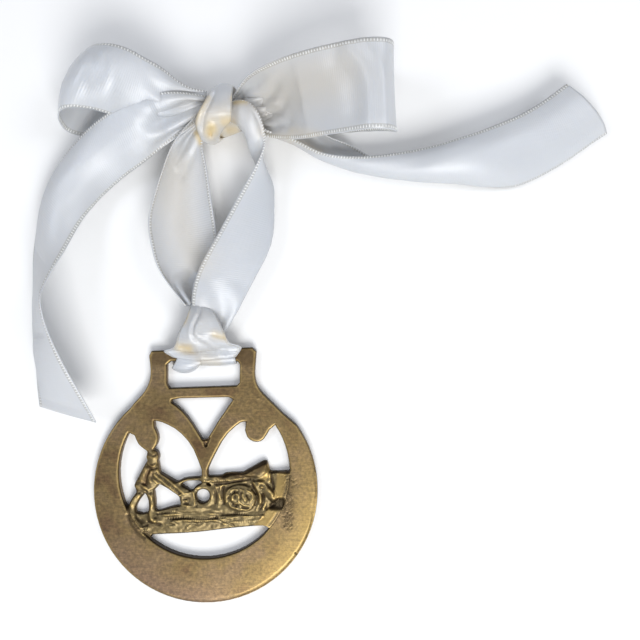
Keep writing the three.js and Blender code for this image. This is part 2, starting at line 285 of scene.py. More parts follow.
PLOUGH = [
    (0.35, 0.25, [(-9, -1.5), (-6.4, -0.9), (-4.3, -0.7), (-3.9, -4.7), (-6.6, -5.1), (-8.7, -5)]),
    (0.35, 0.2, [(-9.6, -2.4), (-8.4, -4.6)]),
    (0.5, -0.4, [(-7.3, -2.8), (-5.9, -2.7), (-5.9, -4), (-7.1, -4.1)]),
    (0.3, 0.25, [(-6.8, -3.5), (-6.4, -3.5)]),
    (0.4, -0.25, [(-3.3, 0), (-3, -4.9)]),
    (0.5, 0.25, [(-3.4, 0.6), (-1, 2.2), (1.6, 1.6), (2.8, -0.6)]),
]
HORSE = [
    (1.3, 0.25, [(9.6, -2.4), (13.4, -2.4)]),
    (0.4, 0.25, [(7, -3.6), (7, -1.2), (8.6, 1), (11.6, 1.9), (14.8, 1)]),
    (0.35, 0.3, [(7.8, -1.5), (8.8, 0.3), (10.6, 0.5)]),
    (0.3, 0.3, [(8.9, -3), (9.3, -1.4), (10.6, -0.9), (11.4, -1.8)]),
    (0.3, 0.28, [(11.6, 0.6), (12.8, 0), (12.6, -1.6), (13.4, -3.2)]),
    (0.3, 0.28, [(14, 0.2), (15.4, -0.8), (15.9, -2.4), (15, -3.8)]),
    (0.3, 0.28, [(11.2, -3.2), (12.6, -4.6), (14.4, -5)]),
    (0.35, 0.25, [(12, -6.2), (13.8, -6.6), (15.4, -5.8)]),
    (0.35, 0.28, [(7.8, -3.9), (8.6, -5.4), (10.4, -5.9)]),
    (0.3, 0.25, [(9.8, -4.3), (11, -3.9), (11.6, -5.2)]),
    (0.35, -0.45, [(9.7, -0.2), (10, -2.3)]),
    (0.3, -0.45, [(11.9, -0.6), (11.8, -2.6)]),
    (0.35, -0.45, [(13.9, -1.4), (14.6, -2.8)]),
    (0.35, -0.4, [(9.2, -4.5), (10.4, -5.1)]),
    (0.3, -0.4, [(12.4, -5.6), (14.2, -6)]),
    (0.3, -0.35, [(7.6, -2.4), (8.2, -0.9)]),
    (0.3, -0.35, [(15.6, 0.4), (16.8, -1.2)]),
    (0.4, -0.4, [(5.9, 1.2), (5.6, -1.6), (6, -4.6)]),
    (0.5, 0.25, [(2.5, 3), (3.6, 0.6), (4.4, -2.3), (4.3, -5.2)]),
    (0.3, -0.3, [(3.2, -0.2), (3.4, -2.4), (3.2, -4.4)]),
    (0.35, 0.25, [(5, 0.8), (4.6, -1.2), (5.2, -3.4)]),
    (0.5, 0.35, [(16.2, 2.6), (17.2, 0.6), (18.4, -1.9), (17.9, -4.4), (17.1, -6.4)]),
    (0.35, -0.35, [(15.6, 2), (16.4, -0.2), (17.3, -2.1), (16.6, -4.8)]),
    (0.4, -0.4, [(19.2, -1.3), (19.5, -3.2), (18.5, -6.1)]),
    (0.5, 0.3, [(20, -2.2), (20.2, -4), (19.4, -6)]),
    (0.6, 0.35, [(17.2, 3), (19.4, 2.9), (21, 1), (22.8, -1.4)]),
    (0.4, 0.4, [(18.9, 1.4), (19, 1.35)]),
    (0.28, -0.3, [(18.1, 1.7), (18.8, 2.2), (19.7, 1.7), (19.8, 0.9), (19.1, 0.5)]),
    (1.2, 0.35, [(18.2, 2.2), (20.2, 1.2), (22.4, -1.2)]),
    (0.7, -0.8, [(20.8, -6.2), (22.8, -4.6), (24.2, -3.2)]),
]
HEDGE = [
    (0.8, -0.7, [(6, 5), (8.4, 5.7), (12, 5.6), (15, 7.4), (18.4, 9.4), (20.9, 10.4)]),
    (0.8, -0.4, [(-9.6, 4.1), (-6, 4), (-2.6, 4.1)]),
    (0.8, -0.6, [(21.6, 6.6), (24.2, 6.8), (27.4, 6.9)]),
    (0.4, 0.25, [(-0.4, 3.4), (4.2, 3.1), (9.4, 3.7), (13, 4)]),
    (0.35, -0.35, [(3, 2.1), (7.4, 2.5), (11, 3.2), (14.8, 3.7)]),
    (0.35, 0.25, [(3.4, 1.1), (7, 1.8), (9.9, 2.5), (13.3, 2.9)]),
    (1.2, 0.5, [(17.8, 3.6), (19.8, 4.2), (21, 5.4)]),
    (0.9, 0.4, [(19.4, 3), (21.2, 3)]),
    (0.5, 0.3, [(21.3, 8.8), (21.5, 6.2), (21.6, 3.4)]),
    (0.4, -0.5, [(22.2, 6.4), (22.3, 3.6), (23, 0.8)]),
]
GROUND = [
    (0.7, 0.25, [(-16.8, -6.6), (-13.2, -5.8), (-7.7, -5.5), (-2.2, -5.9), (2.4, -5.7)]),
    (0.4, -0.4, [(-16.4, -8), (-11.6, -7.3), (-6.1, -7.5), (0.6, -7), (5.6, -7.6)]),
    (0.4, 0.25, [(-14.4, -8.6), (-9.6, -8.2), (-3.4, -8.3), (2.4, -7.9)]),
    (0.35, -0.35, [(-12.8, -9.6), (-6, -9.3), (0, -9.5), (6.4, -9.1)]),
    (0.4, 0.25, [(-10.8, -10.2), (-7.7, -9.9), (-2.2, -10.4), (3, -9.9)]),
    (0.3, -0.3, [(-9.8, -6.3), (-4.2, -6.4), (1.6, -6.5)]),
    (0.35, 0.22, [(-13.4, -11.4), (-11.4, -10.9), (-10.2, -11.8), (-12.4, -12.2)]),
    (0.35, 0.22, [(-22, -12.6), (-19.4, -12.4), (-19.8, -13.6)]),
    (0.4, 0.22, [(-6.4, -12.4), (-4.8, -11.6), (-2.8, -12.3), (-0.8, -11.4)]),
    (0.35, -0.3, [(3.4, -9), (5.2, -10.4), (7.6, -11), (9.2, -11.9)]),
    (0.4, -0.3, [(5.4, -8.2), (9.8, -7.9), (15.8, -8.3), (19.6, -8)]),
    (0.6, 0.3, [(6, -11.2), (10, -10.6), (16, -10.2), (20.4, -9)]),
    (0.45, -0.25, [(9.6, -9.6), (13.4, -9.3), (18, -8.9)]),
]
# Painted shade, in darker brown, on the ploughman's clothing and hat and along the hedge's top, as
# (radius, share, points).
COAT_SHADE = [
    (1.9, 1, [(-18.2, 8), (-19.6, 5), (-20.6, 2.4)]),
    (1.2, 0.6, [(-19.4, 12.2), (-16.6, 12.2)]),
    (1.2, 0.9, [(5.6, 4.6), (9, 5.2), (12.6, 5.6)]),
    (2, 1, [(12.6, 5.6), (16, 6.6), (19.4, 8.2)]),
]
# Painted highlight on the lit end of the hedge, as (radius, share, points).
LIT_HEDGE_END = [
    (0.7, 0.8, [(21.2, 8.6), (20.9, 6.6), (20.3, 5.2)]),
    (0.9, 1, [(20.6, 5), (19.8, 4), (18.8, 3.6)]),
]
# Marks in the rim and the strut: the blind hole, the groove under it, and casting cracks.
MARKS = [
    (0.5, -1.3, [(0.1, 17.5), (0.12, 17.5)]),
    (0.45, -0.5, [(-0.9, 17.6), (0.05, 15.3)]),
    (0.45, -0.5, [(1.1, 17.6), (0.05, 15.3)]),
    (0.22, -0.3, [(30.2, -20.8), (31.4, -22.2)]),
    (0.2, -0.07, [(28.4, 4), (29.6, 3.4), (30.6, 3.9)]),
    (0.2, -0.06, [(28.6, 2.6), (29.8, 2), (30.8, 2.4)]),
    (0.3, 0.08, [(17.2, 31), (18, 31.2)]),
    (1.3, -0.6, [(23.4, -4.6), (25.2, -3.9)]),
    (0.7, 0.6, [(0.9, 2.4), (1.3, 2.2)]),
]


def carved(points, features):
    """The height that fine carving adds at 2-D points, in millimetres."""
    total = np.zeros(len(points))
    for radius, height, spine in features:
        u = np.linspace(0, len(spine) - 1, (len(spine) - 1) * 8 + 1)
        line = catmull(spine, u)
        low, high = line.min(0) - radius * 2, line.max(0) + radius * 2
        near = np.where(((points > low) & (points < high)).all(1))[0]
        if not len(near):
            continue
        gaps = np.linalg.norm(points[near, None] - line[None], axis=2).min(1)
        total[near] += height * np.exp(-(gaps / radius) ** 2)
    return total


def patch(points, across, up, soft):
    """A soft-edged rectangle, from 0 to 1, at 2-D points."""
    share = np.ones(len(points))
    for value, (low, high) in zip(points.T, (across, up)):
        rise = smoothstep(low - soft, low + soft, value)
        share = share * rise * (1 - smoothstep(high - soft, high + soft, value))
    return share


def toward(points, degrees):
    """1 at 2-D points that lie in one direction from the rim's centre, 0 at right angles to it."""
    angle = np.arctan2(points[:, 1], points[:, 0])
    return np.clip(np.cos(angle - math.radians(degrees)), 0, 1)


def on_scene(points):
    """True on the ploughing scene, but not on the strut that stands on it."""
    x, y = points[:, 0], points[:, 1]
    inside = np.linalg.norm(points[:, :2] - WINDOW, axis=1)
    return (inside < 28.2) & (y < 13.4) & (y > -19) & ((np.abs(x) > 5) | (y < 5))


def pitted(points):
    """Depth of the rough, pitted casting round the scene, from 0 to 1."""
    x, y = points.T
    ring = np.linalg.norm(points - WINDOW, axis=1)
    right = patch(points, (25.8, 29.6), (-13, 5.5), 0.9)
    left = smoothstep(26.8, 27.6, ring) * (1 - smoothstep(28.4, 30.6, ring)) * (x < -8)
    left = left * (1 - smoothstep(-5, -2, y))
    return np.maximum(right, left) * smoothstep(-24, -16, y)


def cove_areas(points, near):
    """The cove in which the scene's right end rises to the rim, its face, which carries a painted
    highlight, and the dark dip across it, each from 0 to 1."""
    x, y = points.T
    inside = np.linalg.norm(points - WINDOW, axis=1)
    dip = patch(points, (21.5, 26.5), (-6.2, -2.6), 0.7)
    cove = smoothstep(23.6, 27.4, inside) * (x > 15) * (1 - smoothstep(5.6, 6.6, y))
    cove = near.blurred(cove * smoothstep(-15, -12, y) * (1 - 0.75 * dip), 3)
    face = smoothstep(0.03, 0.3, cove) * (1 - smoothstep(27.2, 28, inside)) * (1 - dip)
    return cove, face, dip


def cast_skin(settings):
    """The casting's skin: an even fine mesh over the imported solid."""
    obj = new_object("horse_brass_cast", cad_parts["horse_brass"].data.copy())
    mesh = bmesh.new()
    mesh.from_mesh(obj.data)
    bmesh.ops.remove_doubles(mesh, verts=mesh.verts, dist=1e-6)
    mesh.to_mesh(obj.data)
    mesh.free()
    skin = obj.modifiers.new("skin", "REMESH")
    skin.mode = "VOXEL"
    skin.voxel_size = settings.voxel
    return applied(obj)


def relief(points, near, scene, strength):
    """How far carving, casting marks and wear raise the face, in millimetres."""
    flat = points[:, :2]
    cove, face, _ = cove_areas(flat, near)
    figures = carved(flat, PLOUGHMAN + PLOUGH + HORSE + HEDGE + GROUND) * (1 - 0.8 * face)
    rough_part = scene & (flat[:, 1] < 7.5) & (face < 0.3)
    chatter = value_noise(points, 1.6, 6) * 0.13 + value_noise(points, 0.8, 8) * 0.06
    chatter = chatter * near.blurred(rough_part.astype(float), 4)
    grain = value_noise(points, 8, 1) * 0.05 + value_noise(points, 0.45, 4) * 0.012
    pits = np.clip(value_noise(points, 0.6, 5) - 0.1, 0, 1) * 0.16 * pitted(flat)
    # The rim is rubbed down along its outer edge, most at the lower right.
    ring = np.linalg.norm(flat, axis=1)
    edge = smoothstep(RIM_RADIUS - 1.6 - value_noise(points, 6, 9) * 0.8, RIM_RADIUS, ring)
    rubbed = edge * toward(flat, -45) * 0.45
    rise = np.clip(FACE - points[:, 2], 0, 1.2) * cove
    carving = (figures + carved(flat, MARKS)) * CARVING
    return (carving + chatter) * strength + grain - pits - rubbed + rise


def carve_skin(obj, settings):
    """Carves and wears the casting's skin, and stores what the brass's colours depend on."""
    mesh = obj.data
    near = Neighbours(mesh)
    points = (vectors(mesh.vertices, "co") - RIM_CENTRE) / MM
    scene = on_scene(points)
    steps = near.blurred((scene & (points[:, 2] > 1)).astype(float), 6)
    points = near.blurred(points, SCENE_SMOOTHING, 0.5 * steps)
    points = near.blurred(points, 2)
    set_positions(mesh, placed(points))
    facing = vectors(mesh.vertex_normals, "vector")
    front = smoothstep(0.2, 0.7, facing[:, 2])
    flat = points[:, :2].copy()
    points[:, 2] += front * relief(points, near, scene, settings.relief)
    furrows = patch(flat, (-10, 7), (-8.4, -5.8), 0.6)
    walls = near.blurred(np.maximum((1 - front) * scene, furrows), 4)
    points = near.blurred(points, 6, 0.6 * walls)
    back = smoothstep(0.5, 0.9, -facing[:, 2])
    points[:, 2] += back * np.clip(value_noise(points, 2.4, 7), 0, 1) * 0.12
    points[:, 2] = np.maximum(points[:, 2], 0)
    set_positions(mesh, placed(points))
    shade_smooth(mesh)
    for name, values in wear(mesh, near, points, flat, front, scene).items():
        store(mesh, name, values)
    return obj


def wear(mesh, near, points, flat, front, scene):
    """Where the casting is hollow, pitted or rubbed, and where its colour paints light and shade, by
    the names that its material reads.
    """
    facing = vectors(mesh.vertex_normals, "vector")
    ring = np.linalg.norm(flat, axis=1)
    _, cove_face, dip = cove_areas(flat, near)
    height = points[:, 2] * front + FIELD * (1 - front)
    hollow = near.blurred(height, 12) - height
    wide_hollow = near.blurred(height, 70) - height
    cloud = value_noise(points, 13, 11) * 0.5 + value_noise(points, 5, 12) * 0.3
    rough = pitted(flat) * (0.6 + 0.4 * value_noise(points, 0.6, 13))
    strut_foot = patch(flat, (-0.6, 1.6), (1.2, 3.4), 0.3)
    strut = patch(flat, (-4.5, 4.5), (6, 23), 1)
    lower_right = toward(flat, -38) ** 2 * smoothstep(27, 36, ring)
    lower_left = toward(flat, -112) ** 3 * smoothstep(26, 37, ring)
    return {
        "hollow": 0.5 + hollow * 2.2 + wide_hollow * 0.5,
        "pitted": np.maximum(rough, dip),
        "scene": near.blurred(scene.astype(float), 4) * (1 - cove_face),
        # Painted highlight on the cove's sloping face and on the hedge's end.
        "cove": np.maximum(cove_face, carved(flat, LIT_HEDGE_END)),
        # Painted shade on the ploughman's clothing and hat and along the hedge's top.
        "coat": np.clip(carved(flat, COAT_SHADE), 0, 1) * (0.8 + 0.2 * value_noise(points, 1.2, 14)),
        # Painted shade on the walls that face up.
        "upward": smoothstep(0.15, 0.75, facing[:, 1]) * (1 - strut_foot),
        # Painted shade on the side walls, which face sideways.
        "wall": 1 - smoothstep(0.3, 0.8, np.abs(facing[:, 2])),
        # Darker over the top bar, as painted shade where the ribbon hangs over it, and darker over
        # the strut.
        "dull": np.maximum(smoothstep(41, 43, flat[:, 1]), 0.6 * strut),
        # Brighter gold at the lower right, partly the rubbed rim and partly a painted highlight, with
        # a random cloud of it elsewhere.
        "gilt": lower_right * 0.9 + cloud * 0.3,
        "pink": lower_left * 0.9 + cloud * 0.2,
    }


def trimmed(obj, most):
    """Collapses the flat parts of a mesh until it has the given number of triangles."""
    triangles = sum(len(face.vertices) - 2 for face in obj.data.polygons)
    fewer = obj.modifiers.new("fewer faces", "DECIMATE")
    fewer.ratio = min(1, most / triangles)
    return applied(obj)


def brass_material(settings):
    """Old cast brass. Its face is rubbed to a smooth olive gold, yellower at the lower right, where a
    painted highlight adds to the rubbing, and pinker at the lower left; its recesses hold grey-brown
    tarnish, and painted shade darkens the walls that face up when it hangs and the other side walls."""
    material, tree = new_material("aged cast brass")
    place = add(tree, "ShaderNodeTexCoord").outputs["Object"]
    streaks = add(tree, "ShaderNodeMapping", {
        "Vector": place, "Rotation": (0, 0, math.radians(34)), "Scale": (260, 2600, 260)}).outputs[0]
    clouds, stains, scratches, grain = [
        add(tree, "ShaderNodeTexNoise", {
            "Vector": vector, "Scale": scale, "Detail": detail, "Roughness": rough}).outputs["Fac"]
        for vector, scale, detail, rough in (
            (place, 90, 4, 0.55), (place, 900, 4, 0.7), (streaks, 1, 3, 0.6), (place, 3000, 3, 0.6))]
    hollow, pits = [
        add(tree, "ShaderNodeAttribute", attribute_name=name).outputs["Fac"]
        for name in ("hollow", "pitted")]
    black, white = (0, 0, 0), (1, 1, 1)
    face, stained, scratched, worn, tarnished, specks = [
        add(tree, "ShaderNodeValToRGB", {"Fac": factor}, stops).outputs["Color"]
        for factor, stops in (
            (clouds, [(0.3, linear("#735E4A")), (0.46, tuple(settings.base)),
                      (0.62, linear("#8B7961")), (0.78, linear("#97876A"))]),
            (stains, [(0.38, linear("#5E5444")), (0.62, linear("#CFC2A6"))]),
            (scratches, [(0.42, linear("#726A5A")), (0.66, linear("#D8CCB2"))]),
            (hollow, [(0.12, white), (0.4, black)]),
            (hollow, [(0.56, black), (0.95, white)]),
            (grain, [(0.5, black), (0.6, white)]))]
    specks = add(tree, "ShaderNodeMath", {0: specks, 1: pits}, operation="MULTIPLY").outputs[0]
    # Each layer lies over those before it: where it shows, how strongly, its colour, and the blend.
    layers = [
        # Brighter gold at the lower right: rubbed brass and a painted highlight.
        ("gilt", 0.7, linear("#B29C66"), "MIX"),
        ("pink", 0.85, linear("#8F7B6E"), "MIX"),
        (None, 0.4, stained, "OVERLAY"),
        (None, 0.2, scratched, "OVERLAY"),
        ("scene", 0.6, linear("#7C7050"), "MIX"),
        # Painted shade over the top bar under the ribbon; the strut is darkened too.
        ("dull", 0.6, linear("#5C4A31"), "MIX"),
        # Rubbed bright brass on the convex edges, which also serves as a painted highlight along
        # them.
        (worn, 1, settings.polish_and_highlight, "MIX"),
        (tarnished, 1, settings.patina, "MIX"),
        # Painted shade on the ploughman and along the hedge's top.
        ("coat", 0.85, linear("#4E3A26"), "MIX"),
        # Painted shade on the side walls.
        ("wall", 0.5, linear("#6E5634"), "MIX"),
        # Painted highlight on the cove's face and the hedge's end.
        ("cove", 0.8, linear("#BDA064"), "MIX"),
        ("pitted", 0.7, linear("#574A36"), "MIX"),
        # Painted shade, near black, on the walls that face up.
        ("upward", 0.85, linear("#241A10"), "MIX"),
        (specks, 1, linear("#2A2116"), "MIX"),
    ]
    for where, strength, color, blend in layers:
        if isinstance(where, str):
            where = add(tree, "ShaderNodeAttribute", attribute_name=where).outputs["Fac"]
        if where:
            strength = add(tree, "ShaderNodeMath", {0: where, 1: strength},
                           operation="MULTIPLY").outputs[0]
        face = add(tree, "ShaderNodeMix", {0: strength, 6: face, 7: color},
                   data_type="RGBA", blend_type=blend).outputs[2]
    bump = add(tree, "ShaderNodeBump", {"Height": grain, "Strength": 0.15, "Distance": 0.00005})
    gloss = add(tree, "ShaderNodeMapRange", {"Value": stains, "To Min": 0.36, "To Max": 0.5})
    shader = add(tree, "ShaderNodeBsdfPrincipled", {
        "Base Color": face, "Metallic": 0.9, "Roughness": gloss.outputs[0],
        "Normal": bump.outputs[0]})
    add(tree, "ShaderNodeOutputMaterial", {"Surface": shader.outputs[0]})
    return material


# ---- the ribbon ----------------------------------------------------------------------------------
# Each run of ribbon is a list of stations from one end to the other. A station holds the two
# selvedges as (x, y, z). Where they are closer together than the ribbon is wide, the cloth between
# them bows out, to the side that the sign of bow gives. share is the part of the width that isn't
# taken up by pleats, and where fold is 1 the second point is a fold with the rest of the width
# tucked under it; all three may be given station by station. Pleats fade out over the lengths
# start and end, and depth scales them; creased scales the run's soft creases. Only where stitched
# is true do the selvedges show.

class Run:
    def __init__(self, bow, pleats, start, end, stations, share=1.0, fold=0.0, depth=0.5,
                 creased=1.0, stitched=True):
        self.pleats, self.start, self.end, self.depth = pleats, start, end, depth
        self.creased, self.stitched = creased, stitched
        self.stations = np.array(stations, float)
        count = len(stations)
        self.bow, self.share, self.fold = (
            np.full(count, value) if np.isscalar(value) else np.array(value, float)
            for value in (bow, share, fold))


RUNS = {
    "right_tail": Run(-1, 3, 26, 0, [
        ((14.5, 123, 12), (15.5, 127, 11)), ((22, 119, 11), (26.5, 124, 9)),
        ((30.5, 116.6, 10), (35, 121.5, 9)), ((38, 112.6, 10), (41, 118, 8)),
        ((46.5, 111.2, 10), (48.5, 116, 5)), ((58, 111.4, 10), (57.5, 111.8, 2)),
        ((74.5, 114, 10), (72.5, 107, 1)), ((90.5, 119, 11), (94.5, 102.5, 2)),
        ((105.5, 125.5, 10), (111, 105, 2)), ((119.5, 135, 9), (135.5, 120.5, 2))],
        share=(0.9, 0.8, 0.72, 0.68, 0.68, 0.68, 0.84, 0.98, 1, 1)),
    "left_tail": Run(1, 2, 24, 0, [
        ((1.5, 129, 15), (3.5, 125.5, 11)), ((-10, 129.2, 20), (-4.5, 119.4, 12)),
        ((-24, 125, 20), (-18.5, 109.8, 10)), ((-39, 117, 13), (-32, 100.6, 6)),
        ((-51, 105, 6), (-38.5, 92, 9)), ((-57, 90, 1), (-43, 79.5, 16)),
        ((-58.8, 77, 1), (-47, 69, 22)), ((-59, 64.5, 1), (-47.5, 62.5, 25)),
        ((-58.8, 50.5, 1), (-45, 51, 22)), ((-56.6, 28.2, 1), (-33.9, 24.4, 13))],
        share=(0.6, 0.62, 0.78, 0.86, 0.9, 0.96, 0.98, 1, 1, 1)),
    "right_loop": Run(1, 4, 24, 22, [
        ((9, 129.5, 10), (9.4, 122.6, 7)), ((15, 134.9, 17), (20, 118, 9)),
        ((24.5, 137.6, 24), (30.6, 114.6, 18)), ((37.5, 139.1, 31), (41.2, 113.4, 29)),
        ((50, 139.4, 37), (51, 113, 36.5)), ((57.4, 139.4, 38), (58.6, 112.9, 38)),
        ((60.4, 140.2, 31), (61.6, 113.8, 30)), ((60, 142, 17), (60, 117.8, 16)),
        ((51, 143, 7), (51.5, 119.8, 7)), ((34, 140, 3), (34, 120.8, 3)),
        ((20, 134, 3.5), (20, 122, 3.5)), ((12, 131, 7), (12, 125, 7))], creased=0.7),
    "left_loop": Run((0.6, 0.7, 1, 1, 1, 1, 1, 1, 0, -1, -1, -1), 4, 22, 18, [
        ((2, 131, 14), (1.5, 126.5, 11)), ((-4.3, 131.8, 17), (-5, 124.5, 10)),
        ((-10.4, 136.2, 20), (-15, 120.5, 12)), ((-15.7, 138.6, 23), (-23.5, 121.4, 15)),
        ((-21.4, 141.4, 25), (-31.9, 123.3, 21)), ((-28.6, 142.2, 26), (-40.3, 123.2, 23.5)),
        ((-34, 142.4, 20), (-44.2, 121.8, 18)), ((-34.2, 143, 11), (-46, 121, 10)),
        ((-30.5, 142.5, 5), (-44.8, 119.6, 4.8)), ((-24, 139.5, 3), (-33, 118.6, 3.2)),
        ((-12, 135, 3.5), (-16, 120, 3.5)), ((0.5, 131, 7), (0.5, 125, 7))],
        share=(0.9, 0.75, 0.86, 0.88, 0.93, 0.95, 0.93, 0.96, 1, 1, 1, 1)),
    "right_strand": Run((-1, -1, -1, -0.8, 0.1, 0.7, 1, 1, 1, 1, 1), 2, 0, 18, [
        ((8.4, 127.6, 13), (8.6, 122, 12)), ((14.8, 128.2, 16), (12.2, 120.4, 14)),
        ((19, 123.6, 16), (14, 117.8, 12)), ((21, 116.6, 14), (15.9, 113.4, 7.5)),
        ((20.4, 111.2, 16), (17.4, 107.4, 5)), ((17.5, 106, 15), (22.7, 103.6, 7)),
        ((12.8, 98.4, 14), (22.9, 95, 8)), ((6.2, 86.6, 13), (21.8, 83, 8)),
        ((-1.4, 72.8, 12), (15.8, 70.6, 8)), ((-3.5, 62.7, 10.4), (10.8, 61.4, 7)),
        ((-1.8, 56.5, 6), (5.4, 52.6, 4))],
        share=(0.3, 0.46, 0.48, 0.5, 0.58, 0.8, 1, 1, 1, 1, 0.9),
        fold=(0, 0, 0, 0, 0.2, 0.8, 1, 1, 1, 1, 0.8), creased=0.5, depth=0.2),
    "left_strand": Run(-1, 2, 16, 12, [
        ((-0.5, 125, 12), (4, 125.5, 10)), ((-8.6, 114.9, 13), (-0.6, 116.8, 8)),
        ((-13.1, 103.9, 13), (0.9, 108, 8)), ((-17, 91.3, 12.5), (2.6, 96.6, 8)),
        ((-16.6, 83, 12), (4.4, 85.5, 8)), ((-13.8, 73.5, 11), (5, 74, 6)),
        ((-5.4, 62, 9), (2.5, 63, 5))],
        share=(0.5, 0.6, 0.8, 0.98, 1, 0.95, 0.8), creased=0.6),
    "turn": Run(1, 2, 0, 0, [
        ((-2, 61.5, 4), (4, 59.5, 4)), ((-3.6, 62.8, 7), (1.6, 61.8, 7)),
        ((-4, 61.2, 10), (3.6, 60, 10)), ((-5.2, 57.4, 11), (5.5, 57, 11)),
        ((-7.5, 53.7, 10.5), (7.3, 53.4, 10.5)), ((-9, 49.8, 8.8), (7.8, 51.3, 9.2)),
        ((-10.4, 48.1, 7), (9, 49.8, 7.8)), ((-13.5, 47.3, 5.5), (12.4, 48.6, 5.8)),
        ((-12.6, 46.2, 5.2), (11.4, 46.6, 5.4)), ((-9.6, 44.8, 5), (10.2, 45.1, 5)),
        ((-8.8, 45.4, 4.45), (9.8, 45.6, 4.45)), ((-8, 48.6, 4.4), (8, 48.6, 4.4))],
        share=(0.26, 0.23, 0.33, 0.46, 0.64, 0.69, 0.78, 1.03, 0.95, 0.79, 0.75, 0.64),
        creased=0.25, stitched=False),
    "left_droop": Run(1, 1, 0, 0, [
        ((-8.4, 47.4, 4.45), (-2.4, 47.2, 4.45)), ((-9.8, 43.6, 4.3), (-1.2, 43.4, 4.3)),
        ((-11.3, 41.6, 3.2), (-2.4, 42, 3.4)), ((-11.2, 41.4, 1.5), (-2.8, 41.6, 1.5)),
        ((-11.2, 44.4, 0.5), (-1.6, 44.4, 0.5)), ((-8.4, 49, 0.5), (-1.4, 49, 0.5)),
        ((-4, 56, 2.5), (-0.4, 56, 2.5))],
        share=(0.24, 0.35, 0.38, 0.36, 0.38, 0.28, 0.16), creased=0.2, stitched=False),
    "right_droop": Run(1, 1, 0, 0, [
        ((-2.6, 47.2, 4.45), (9.6, 47.2, 4.45)), ((-2.2, 43.9, 4.3), (10.2, 43.9, 4.3)),
        ((-1.8, 42.4, 2.8), (10.4, 43, 2.9)), ((-1.8, 42.5, 1.3), (10.3, 43, 1.3)),
        ((-1.8, 44.6, 0.5), (10.2, 44.6, 0.5)), ((-1.6, 49, 0.5), (7.4, 49, 0.5)),
        ((-0.8, 56, 2.5), (4, 56, 2.5))],
        share=(0.48, 0.49, 0.482, 0.478, 0.48, 0.36, 0.2), creased=0.2, stitched=False),
    "bow_core": Run(-1, 2, 0, 0, [
        ((-1.5, 128, 4), (-1.5, 118.5, 4)), ((3, 130, 3.5), (3, 118, 3.5)),
        ((8, 130.6, 3.5), (8, 119.5, 3.5)), ((12.4, 129, 4), (12.4, 121, 4))],
        share=(0.75, 1, 1, 0.7), creased=0.4, stitched=False),
    "lower_core": Run(1, 2, 0, 0, [
        ((-2.4, 65, 3), (3.4, 63.4, 3)), ((-3.6, 61.6, 1.6), (4.4, 60, 1.6)),
        ((-4.4, 57, 1.4), (5.4, 56, 1.4)), ((-5.4, 52.4, 1.4), (6, 52.4, 1.4)),
        ((-5.4, 49.6, 1.6), (6, 49.6, 1.6))],
        share=(0.4, 0.62, 0.72, 0.74, 0.6), creased=0.4, stitched=False),
    "bow_wrap": Run(1, 2, 0, 0, [
        ((4.8, 124, 2.4), (10, 124, 2.4)), ((4.9, 129.6, 3.4), (10.7, 130, 3.4)),
        ((4.8, 131.6, 7), (10.9, 132.2, 7)),
        ((4.9, 132.4, 12), (10.9, 132.9, 12)), ((4.2, 130.8, 17), (10.9, 130.8, 18)),
        ((2.6, 126, 20), (10.8, 125.4, 20.5)), ((0.7, 122.6, 20.5), (10.7, 122, 20.5)),
        ((-0.7, 119.8, 18.6), (9.9, 120, 18.5)), ((-0.2, 117, 16), (7.6, 118.4, 16)),
        ((0.8, 115.3, 12.6), (5.9, 116.7, 12.6)), ((2, 116.4, 7), (6.4, 117.9, 7)),
        ((3.4, 119.6, 3.2), (7.4, 120.6, 3.2)), ((4.6, 123.4, 2.4), (9.4, 123.4, 2.4))],
        share=(0.21, 0.23, 0.25, 0.25, 0.285, 0.34, 0.42, 0.44, 0.33, 0.23, 0.2, 0.17, 0.19),
        creased=0.25, stitched=False),
}
